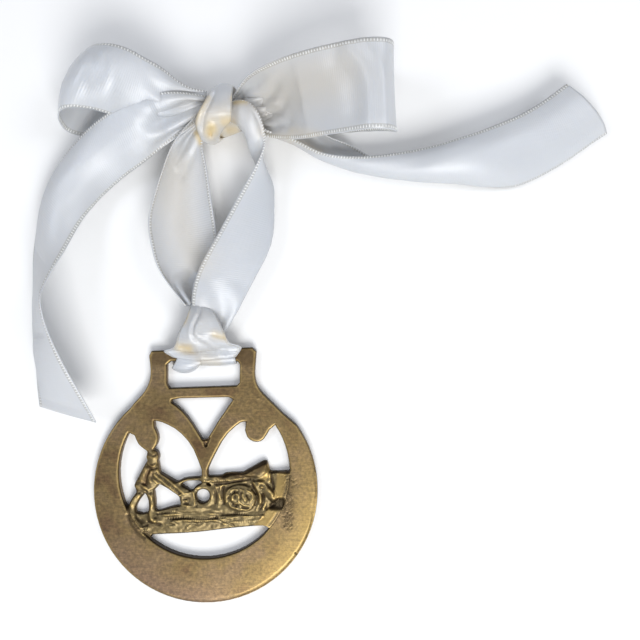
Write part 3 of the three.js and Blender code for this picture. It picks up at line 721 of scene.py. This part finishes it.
# Ridges and hollows of single runs as (radius, height, points).
# Creases of single runs: (radius, height, points). They raise or lower the cloth like carving.
CREASES = {
    "bow_wrap": [
        (0.7, 0.8, [(4.6, 129.4), (2.9, 125.6), (0.9, 121.8), (0.1, 119), (0.7, 116)]),
        (0.6, -0.8, [(5.2, 128), (4, 124.6), (2.2, 121.2), (1.5, 118.6)]),
        (0.6, 0.7, [(2.1, 116.4), (2.5, 118.2), (4.2, 118.8), (5.2, 117.4), (4.4, 116)]),
        (0.7, -1.6, [(3.5, 117), (3.7, 116.9)]),
        (0.7, -1, [(10.2, 120.6), (10.6, 120)]),
    ],
    "turn": [
        (0.8, 0.9, [(-0.5, 57.4), (-1.6, 54.6), (-1.3, 52.6), (0.7, 50.8), (3.3, 49.4), (4.8, 47.6),
                    (4.9, 45.8)]),
        (0.7, 0.6, [(-1.3, 59.8), (-2.6, 57.2), (-3.5, 54.6), (-3.6, 52)]),
        (0.6, -1, [(-0.4, 61), (-0.8, 58.6), (-2.5, 55.2), (-2.7, 53), (-1.4, 51.2), (1.4, 49.8)]),
        (0.7, 0.7, [(-6.2, 50.4), (-3.6, 50.2), (-1.5, 49.2), (-1, 47.2), (-1, 45)]),
        (1.6, -0.9, [(-6.4, 48.3), (-4.4, 47.6)]),
        (0.4, -0.9, [(-8.6, 48.4), (-6.3, 48.7)]),
        (0.5, -1, [(3.2, 52), (5.4, 51.2), (7.6, 50.6)]),
        (1.3, 0.6, [(4.6, 53.6), (6.4, 52.6)]),
        (0.6, 0.4, [(8.4, 47.8), (7.2, 46), (7.6, 45)]),
    ],
    "right_loop": [
        (2.2, 0.7, [(46.4, 136.4), (50.6, 131.6), (52.8, 124.5), (52.6, 115)]),
        (1.6, 0.5, [(50.6, 138.2), (55.2, 132.4), (57.2, 124.5), (57.2, 116)]),
        (3, -0.7, [(43.4, 134), (47.4, 128), (48.6, 119)]),
        (1, 0.9, [(14.6, 130.2), (19.6, 129.8), (25.6, 126.4)]),
        (0.9, 0.8, [(15.4, 127.4), (20.8, 125.6), (27.4, 121)]),
        (0.9, 0.7, [(20.8, 122.6), (26.4, 118.6)]),
    ],
    "right_strand": [(0.5, -0.6, [(17.4, 123.4), (19.2, 119.6), (20.4, 114.6)])],
    "left_strand": [(0.9, 0.8, [(-2.6, 118.4), (-6.2, 112.6), (-9, 108)]),
                    (1.1, -0.5, [(-1.4, 115.8), (-4.8, 110.4), (-7.2, 105.6)])],
    "left_loop": [(2.4, 0.8, [(-26, 138.4), (-25.4, 131), (-27.6, 124.6)]),
                  (1.8, -0.5, [(-30.6, 139), (-31.4, 131.6), (-34.4, 124.6)])],
}
# Painted light, as (radius, share, points): where the light in deep folds turns cream, mostly near
# the knots, and a fainter painted beige over wider parts of the loops, the left strand and the knots.
WARMTH = [
    (1.8, 0.9, [(3.4, 117), (4.4, 118)]), (1.3, 0.55, [(10.6, 120.4), (8.2, 119.8)]),
    (3.2, 0.25, [(4, 120.6), (8.4, 121.6)]), (1, 0.5, [(3.4, 127), (1.2, 122.8), (-0.6, 119.6)]),
    (1.2, 0.8, [(11.6, 126.8), (14.4, 127)]), (1.1, 0.9, [(-2.2, 119.4), (-1, 116.4)]),
    (2.2, 0.25, [(20, 117.6), (28, 115.4)]), (1.7, 0.8, [(-7.6, 48.4), (-4.6, 48.2)]),
    (1.3, 0.6, [(4.4, 52.8), (7.2, 51.8)]), (0.8, 0.5, [(-4.5, 59.6), (-5.4, 56.6)]),
    (2.4, 0.3, [(-0.5, 44), (4, 43)]),
    (9, 0.27, [(26, 130), (36, 130), (43, 130)]), (7, 0.27, [(-9, 108), (-8, 92), (-3, 78)]),
    (6, 0.12, [(0, 58), (0, 48)]), (6, 0.12, [(-4, 127), (6, 123), (18, 124)]),
    (1.6, 0.25, [(30, 117.5), (38, 113.6)]),
]


def half_angles(share):
    """Half the angles of arcs whose chords are the given shares of their lengths."""
    share = np.clip(share, 0.02, 0.9995)
    angle = np.sqrt(6 * (1 - share))
    for _ in range(8):
        angle = angle - (np.sin(angle) - share * angle) / (np.cos(angle) - share)
    return np.clip(angle, 0.02, 2.6)


def unit(vectors):
    return vectors / np.linalg.norm(vectors, axis=-1, keepdims=True).clip(1e-9)


def folded(span, width, s):
    """A section that runs flat to a fold and goes back under itself, as (side, rise)."""
    bend = TURN_UNDER
    top = np.minimum(span * 1.02, width)
    t = (s[None] + 1) / 2 * width[:, None]
    turned = np.clip((t - top[:, None]) / bend, 0, math.pi)
    under = np.clip(t - top[:, None] - math.pi * bend, 0, None)
    on_top = np.minimum(t, top[:, None]) / top[:, None]
    side = span[:, None] * (on_top - 0.5) + bend * np.sin(turned) - under
    rise = 0.9 * np.sin(math.pi * on_top) - bend * (1 - np.cos(turned)) - under * 0.06
    return side, rise


def softened(line, reach):
    """Rounds the corners of a line of points, or of numbers, over reach rows. The ends stay."""
    if reach < 1:
        return line
    weights = np.hanning(2 * reach + 3)[1:-1]
    columns = line.reshape(len(line), -1)
    padded = np.pad(columns, ((reach, reach), (0, 0)), mode="reflect", reflect_type="odd")
    rounded = [np.convolve(column, weights / weights.sum(), "valid") for column in padded.T]
    return np.stack(rounded, axis=1).reshape(line.shape)


def run_surface(name, step):
    """A run's middle surface as rows of points, the distance of each row, and how gathered it is."""
    run = RUNS[name]
    sides = run.stations
    count = len(sides)
    dense = np.linspace(0, count - 1, 60 * count)
    middle = (catmull(sides[:, 0], dense) + catmull(sides[:, 1], dense)) / 2
    walked = np.r_[0, np.cumsum(np.linalg.norm(np.diff(middle, axis=0), axis=1))]
    length = walked[-1]
    rows = max(int(length / step), 8)
    along = np.linspace(0, length, rows + 1)
    u = np.interp(along, walked, dense)
    reach = int((LOOSE_BEND if run.stitched else TIGHT_BEND) / step)
    a, b = softened(catmull(sides[:, 0], u), reach), softened(catmull(sides[:, 1], u), reach)
    share = softened(np.interp(u, np.arange(count), run.share), reach)
    fold = softened(smoothstep(0, 1, np.interp(u, np.arange(count), run.fold)), reach)[:, None]
    tangent = unit(np.gradient((a + b) / 2, axis=0))
    chord = b - a
    span = np.linalg.norm(chord, axis=1)
    across = chord / span[:, None]
    bow = softened(np.interp(u, np.arange(count), run.bow), reach)[:, None]
    out = unit(np.cross(tangent, across))
    gather = np.zeros(rows + 1)
    if run.start:
        gather = np.maximum(gather, 1 - smoothstep(0, run.start, along))
    if run.end:
        gather = np.maximum(gather, 1 - smoothstep(0, run.end, length - along))
    spare = np.clip(1 - span / RIBBON_WIDTH, 0, 1)
    width = RIBBON_WIDTH * share * (1 - 0.7 * spare * gather * (share > 0.5))
    half = half_angles(span / width)
    columns = int(RIBBON_WIDTH / step)
    s = np.linspace(-1, 1, columns + 1)
    radius = span / 2 / np.sin(half)
    side = radius[:, None] * np.sin(s[None] * half[:, None])
    rise = radius[:, None] * (np.cos(s[None] * half[:, None]) - np.cos(half)[:, None])
    fold_side, fold_rise = folded(span, np.maximum(width, span * 1.02), s)
    side = side * (1 - fold) + fold_side * fold
    rise = rise * (1 - fold) + fold_rise * fold
    depth = np.sqrt(spare * gather) * span / run.pleats * run.depth
    wander = 0.35 * np.sin(along / 7.0 + len(name))
    waves = np.sin(np.pi * run.pleats * (s[None] + wander[:, None] * (1 - s[None] ** 2)))
    rise = (rise + depth[:, None] * waves) * bow
    middle = (a + b) / 2
    surface = middle[:, None] + across[:, None] * side[..., None] + out[:, None] * rise[..., None]
    return surface, along, gather


def surface_normals(surface):
    du = np.gradient(surface, axis=0)
    dv = np.gradient(surface, axis=1)
    return unit(np.cross(du, dv))


def wrinkled(name, surface, along, gather, seed):
    """Adds the soft creases that satin keeps, longest near the knots, and the run's own creases."""
    rows, columns = surface.shape[:2]
    s = np.linspace(0, RIBBON_WIDTH, columns)
    flat = np.stack([np.repeat(along, columns), np.tile(s, rows), np.zeros(rows * columns)], axis=1)
    long = value_noise(flat / [14, 3.2, 1], 1, seed).reshape(rows, columns)
    wide = value_noise(flat / [9, 11, 1], 1, seed + 7).reshape(rows, columns)
    size = 0.10 + 0.35 * gather[:, None]
    shift = (long * size + wide * 0.22) * RUNS[name].creased
    face = surface_normals(surface)
    surface = surface + face * shift[..., None]
    creases = carved(surface[..., :2].reshape(-1, 2), CREASES.get(name, [])).reshape(rows, columns)
    lifted = creases * smoothstep(0.1, 0.6, np.abs(face[..., 2])) * (surface[..., 2] > 4)
    surface[..., 2] += lifted
    return surface


def grid_mesh(name, grids, thickness):
    """Joins grids of points into one open cloth mesh with a map of millimetres of ribbon."""
    points, faces, maps, start, length = [], [], [], 0, 0
    for surface, along, gather in grids:
        rows, columns = surface.shape[:2]
        index = start + np.arange(rows * columns).reshape(rows, columns)
        faces.append(np.stack([index[:-1, :-1], index[1:, :-1], index[1:, 1:], index[:-1, 1:]],
                              axis=-1).reshape(-1, 4))
        points.append(surface.reshape(-1, 3))
        s = np.linspace(0, RIBBON_WIDTH, columns)
        maps.append(np.stack([np.tile(s, rows), np.repeat(along + length, columns)], axis=1))
        start += rows * columns
        length += along[-1]
    points, faces, maps = np.vstack(points), np.vstack(faces), np.vstack(maps)
    points[:, 2] = np.maximum(points[:, 2], thickness / MM / 2 + 0.05)
    mesh = bpy.data.meshes.new(name)
    mesh.from_pydata(placed(points).tolist(), [], faces.tolist())
    layer = mesh.uv_layers.new(name="cloth")
    layer.data.foreach_set("uv", maps[faces.ravel()].ravel())
    warm = np.minimum(carved(points[:, :2], WARMTH), 1) * (points[:, 2] > 2)
    store(mesh, "warm", warm)
    return mesh


def ribbon_grids(step):
    grids = []
    for seed, name in enumerate(RUNS):
        surface, along, gather = run_surface(name, step / MM)
        grids.append((wrinkled(name, surface, along, gather, 20 + seed), along, gather))
    return grids


def stitch_points(grids, spacing):
    """One vertex for each selvedge stitch, with the ways across the ribbon and out of its face."""
    places, across, out = [], [], []
    for (surface, along, gather), run in zip(grids, RUNS.values()):
        if not run.stitched:
            continue
        face = surface_normals(surface)
        inward = np.gradient(surface, axis=1)
        columns = surface.shape[1]
        inset = STITCH_INSET / RIBBON_WIDTH * (columns - 1)
        for at in (inset, columns - 1 - inset):
            low, part = int(at), at - int(at)
            line = surface[:, low] * (1 - part) + surface[:, low + 1] * part
            walked = np.r_[0, np.cumsum(np.linalg.norm(np.diff(line, axis=0), axis=1))]
            where = np.arange(spacing / 2, walked[-1], spacing)
            for source, target in ((line, places), (inward[:, low], across), (face[:, low], out)):
                target.append(np.stack([np.interp(where, walked, source[:, i]) for i in range(3)], 1))
    mesh = bpy.data.meshes.new("stitches")
    mesh.from_pydata(placed(np.vstack(places)).tolist(), [], [])
    for name, ways in (("across", across), ("out", out)):
        attribute = mesh.attributes.new(name, "FLOAT_VECTOR", "POINT")
        attribute.data.foreach_set("vector", unit(np.vstack(ways)).ravel())
    return mesh


def stitch_tree():
    """Geometry nodes that put one rounded stitch on each vertex, lying across the selvedge."""
    tree = bpy.data.node_groups.new("selvedge stitches", "GeometryNodeTree")
    for name, kind in (("Geometry", "Geometry"), ("Length", "Float"), ("Width", "Float"),
                       ("Height", "Float"), ("Material", "Material")):
        tree.interface.new_socket(name, in_out="INPUT", socket_type="NodeSocket" + kind)
    tree.interface.new_socket("Geometry", in_out="OUTPUT", socket_type="NodeSocketGeometry")
    given = add(tree, "NodeGroupInput").outputs
    bead = add(tree, "GeometryNodeMeshUVSphere", {"Segments": 6, "Rings": 4, "Radius": 0.5})
    size = add(tree, "ShaderNodeCombineXYZ", {
        "X": given["Length"], "Y": given["Width"], "Z": given["Height"]})
    across, out = [
        add(tree, "GeometryNodeInputNamedAttribute", {"Name": name},
            data_type="FLOAT_VECTOR").outputs["Attribute"]
        for name in ("across", "out")]
    turned = add(tree, "FunctionNodeAlignRotationToVector", {"Vector": across}, axis="X")
    turned = add(tree, "FunctionNodeAlignRotationToVector", {
        "Rotation": turned.outputs[0], "Vector": out}, axis="Z", pivot_axis="X")
    # Inputs 2 and 3 are the least and the greatest value of a random number.
    jitter = add(tree, "FunctionNodeRandomValue", {2: 0.85, 3: 1.1, "Seed": 4}, data_type="FLOAT")
    scale = add(tree, "ShaderNodeVectorMath", {0: size.outputs[0], "Scale": jitter.outputs[1]},
                operation="SCALE")
    points = add(tree, "GeometryNodeMeshToPoints", {"Mesh": given["Geometry"]})
    beads = add(tree, "GeometryNodeInstanceOnPoints", {
        "Points": points.outputs[0], "Instance": bead.outputs["Mesh"],
        "Rotation": turned.outputs[0], "Scale": scale.outputs[0]})
    real = add(tree, "GeometryNodeRealizeInstances", {"Geometry": beads.outputs[0]})
    smooth = add(tree, "GeometryNodeSetShadeSmooth", {"Geometry": real.outputs[0]})
    coloured = add(tree, "GeometryNodeSetMaterial", {
        "Geometry": smooth.outputs[0], "Material": given["Material"]})
    add(tree, "NodeGroupOutput", {"Geometry": coloured.outputs[0]})
    return tree


def set_inputs(modifier, values):
    """Sets a geometry nodes modifier's inputs by the names of its sockets."""
    for item in modifier.node_group.interface.items_tree:
        if item.in_out == "INPUT" and item.name in values:
            modifier[item.identifier] = values[item.name]


def satin_material(settings):
    """Ivory polyester satin. Its long floats run with the ribbon, so a highlight spreads across it,
    and fine crosswise lines show; a little light passes through it, deep folds near the knots glow
    cream, and the woven band along each selvedge is open and darker between its stitches."""
    material, tree = new_material("ivory satin")
    cloth = add(tree, "ShaderNodeUVMap", uv_map="cloth").outputs[0]
    across, along = add(tree, "ShaderNodeSeparateXYZ", {0: cloth}).outputs[:2]
    turns = add(tree, "ShaderNodeMath", {0: along, 1: 2 * math.pi / LINE_SPACING},
                operation="MULTIPLY")
    lines = add(tree, "ShaderNodeMath", {0: turns.outputs[0]}, operation="SINE")
    threads = add(tree, "ShaderNodeMapping", {"Vector": cloth, "Scale": (0.35, 2.2, 1)})
    slubs = add(tree, "ShaderNodeTexNoise", {
        "Vector": threads.outputs[0], "Scale": 1.0, "Detail": 3, "Roughness": 0.55})
    weave = add(tree, "ShaderNodeMath", {0: lines.outputs[0], 1: 0.5, 2: slubs.outputs["Fac"]},
                operation="MULTIPLY_ADD")
    bump = add(tree, "ShaderNodeBump", {
        "Height": weave.outputs[0], "Strength": 0.22, "Distance": 0.0001})
    centre = add(tree, "ShaderNodeMath", {0: across, 1: RIBBON_WIDTH / 2}, operation="SUBTRACT")
    reach = add(tree, "ShaderNodeMath", {0: centre.outputs[0]}, operation="ABSOLUTE")
    margin = add(tree, "ShaderNodeMapRange", {
        "Value": reach.outputs[0], "From Min": RIBBON_WIDTH / 2 - BAND, "From Max": RIBBON_WIDTH / 2})
    band = add(tree, "ShaderNodeValToRGB", {"Fac": margin.outputs[0]}, [
        (0.27, (0, 0, 0)), (0.33, (1, 1, 1)), (0.86, (1, 1, 1)), (0.92, (0, 0, 0))])
    # The warm attribute marks painted cream light in deep folds and a fainter painted beige
    # elsewhere.
    warm = add(tree, "ShaderNodeAttribute", attribute_name="warm")
    tone = settings.satin
    for where, color in ((band.outputs["Color"], linear("#B6B7B6")),
                         (warm.outputs["Fac"], settings.cream)):
        tone = add(tree, "ShaderNodeMix", {0: where, 6: tone, 7: color}, data_type="RGBA").outputs[2]
    tangent = add(tree, "ShaderNodeTangent", direction_type="UV_MAP", uv_map="cloth")
    shader = add(tree, "ShaderNodeBsdfPrincipled", {
        "Base Color": tone, "Roughness": 0.42, "IOR": 1.6, "Specular IOR Level": 1.0,
        "Anisotropic": 0.7, "Tangent": tangent.outputs[0],
        "Subsurface Weight": 0.25, "Subsurface Radius": (1.0, 0.8, 0.6), "Subsurface Scale": 0.004,
        "Normal": bump.outputs[0]})
    add(tree, "ShaderNodeOutputMaterial", {"Surface": shader.outputs[0]})
    return material


def thread_material():
    """White sewing-weight polyester of the selvedge stitches, brighter than the satin."""
    material, tree = new_material("selvedge thread")
    shader = add(tree, "ShaderNodeBsdfPrincipled", {
        "Base Color": linear("#EDEEEC"), "Roughness": 0.5, "Sheen Weight": 0.2})
    add(tree, "ShaderNodeOutputMaterial", {"Surface": shader.outputs[0]})
    return material


def table_material(color):
    """A pale matt table, light enough to leave only soft shadows."""
    material, tree = new_material("pale table")
    shader = add(tree, "ShaderNodeBsdfPrincipled", {"Base Color": color, "Roughness": 0.9})
    add(tree, "ShaderNodeOutputMaterial", {"Surface": shader.outputs[0]})
    return material


# ---- operators -----------------------------------------------------------------------------------

class OBJECT_OT_horse_brass(bpy.types.Operator):
    """Make the carved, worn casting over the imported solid"""
    bl_idname = "object.horse_brass"
    bl_label = "Horse brass"

    def execute(self, context):
        settings = context.scene.horse_brass
        obj = trimmed(carve_skin(cast_skin(settings), settings), settings.triangles)
        obj.data.materials.clear()
        obj.data.materials.append(brass_material(settings))
        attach(obj, "root")
        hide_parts("horse_brass")
        return {"FINISHED"}


class OBJECT_OT_brass_ribbon(bpy.types.Operator):
    """Make the satin ribbon with its loops, tails, strands and knots"""
    bl_idname = "object.brass_ribbon"
    bl_label = "Satin ribbon"

    def execute(self, context):
        settings = context.scene.horse_brass_ribbon
        grids = ribbon_grids(settings.step)
        mesh = grid_mesh("satin_ribbon", grids, settings.thickness)
        obj = new_object("satin_ribbon", mesh, satin_material(settings))
        body = obj.modifiers.new("cloth", "SOLIDIFY")
        body.thickness = settings.thickness
        body.offset = 0
        applied(obj)
        shade_smooth(obj.data)
        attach(obj, "root")
        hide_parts("ribbon")
        stitches = new_object("selvedge_stitches", stitch_points(grids, settings.stitch / MM))
        sewn = stitches.modifiers.new("stitches", "NODES")
        sewn.node_group = stitch_tree()
        set_inputs(sewn, {**STITCH_SIZE, "Material": thread_material()})
        applied(stitches)
        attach(stitches, "root")
        return {"FINISHED"}


class SCENE_OT_brass_stage(bpy.types.Operator):
    """Lay out the table, the lights and the camera"""
    bl_idname = "scene.brass_stage"
    bl_label = "Stage"

    def execute(self, context):
        settings = context.scene.horse_brass_stage
        scene = context.scene
        middle = placed(VIEW_CENTRE)
        mesh = bpy.data.meshes.new("table")
        corners = [(x * TABLE_REACH, y * TABLE_REACH, 0)
                   for x, y in ((-1, -1), (1, -1), (1, 1), (-1, 1))]
        mesh.from_pydata(corners, [], [(0, 1, 2, 3)])
        new_object("table", mesh, table_material(settings.floor))

        camera = bpy.data.cameras.new("camera")
        camera.sensor_width = 36
        camera.lens = camera.sensor_width * settings.distance / settings.width
        camera.clip_start = 0.01
        holder = bpy.data.objects.new("camera", camera)
        holder.location = (middle[0], middle[1], settings.distance)
        scene.collection.objects.link(holder)
        scene.camera = holder

        self.light("key", "#FFFFFF", 5.4, 0.44, (0.12, -0.54, 0.66), middle)
        self.light("left strip", "#EAF1FF", 1.3, 0.3, (-0.5, 0.14, 0.74), middle)
        self.light("right strip", "#F3F6FF", 1.3, 0.3, (0.54, 0.2, 0.7), middle)
        world = bpy.data.worlds.new("room")
        world.use_nodes = True
        sky = world.node_tree.nodes["Background"].inputs
        sky["Color"].default_value = (*linear("#F4F6FA"), 1)
        sky["Strength"].default_value = 0.42
        scene.world = world
        scene.view_settings.view_transform = "Standard"
        return {"FINISHED"}

    @staticmethod
    def light(name, color, power, size, place, target):
        lamp = bpy.data.lights.new(name, "AREA")
        lamp.energy = power
        lamp.size = size
        lamp.color = linear(color)
        obj = bpy.data.objects.new(name, lamp)
        obj.location = target + np.array(place)
        obj.rotation_euler = Vector(-np.array(place)).to_track_quat("-Z", "Y").to_euler()
        bpy.context.scene.collection.objects.link(obj)


class VIEW3D_PT_horse_brass(bpy.types.Panel):
    bl_label = "Horse brass"
    bl_idname = "VIEW3D_PT_horse_brass"
    bl_space_type = "VIEW_3D"
    bl_region_type = "UI"
    bl_category = "Horse brass"

    def draw(self, context):
        for group, kind, operator in GROUPS:
            box = self.layout.box()
            for name in kind.__annotations__:
                box.prop(getattr(context.scene, group), name)
            box.operator(operator.bl_idname)


GROUPS = [
    ("horse_brass", BrassSettings, OBJECT_OT_horse_brass),
    ("horse_brass_ribbon", RibbonSettings, OBJECT_OT_brass_ribbon),
    ("horse_brass_stage", StageSettings, SCENE_OT_brass_stage),
]
CLASSES = [
    BrassSettings, RibbonSettings, StageSettings, OBJECT_OT_horse_brass, OBJECT_OT_brass_ribbon,
    SCENE_OT_brass_stage, VIEW3D_PT_horse_brass,
]


def register():
    for item in CLASSES:
        bpy.utils.register_class(item)
    for name, kind, _ in GROUPS:
        setattr(bpy.types.Scene, name, bpy.props.PointerProperty(type=kind))


def unregister():
    for name, _, _ in GROUPS:
        delattr(bpy.types.Scene, name)
    for item in reversed(CLASSES):
        bpy.utils.unregister_class(item)


def main():
    register()
    bpy.ops.scene.brass_stage()
    bpy.ops.object.horse_brass()
    bpy.ops.object.brass_ribbon()


if __name__ == "__main__":
    main()
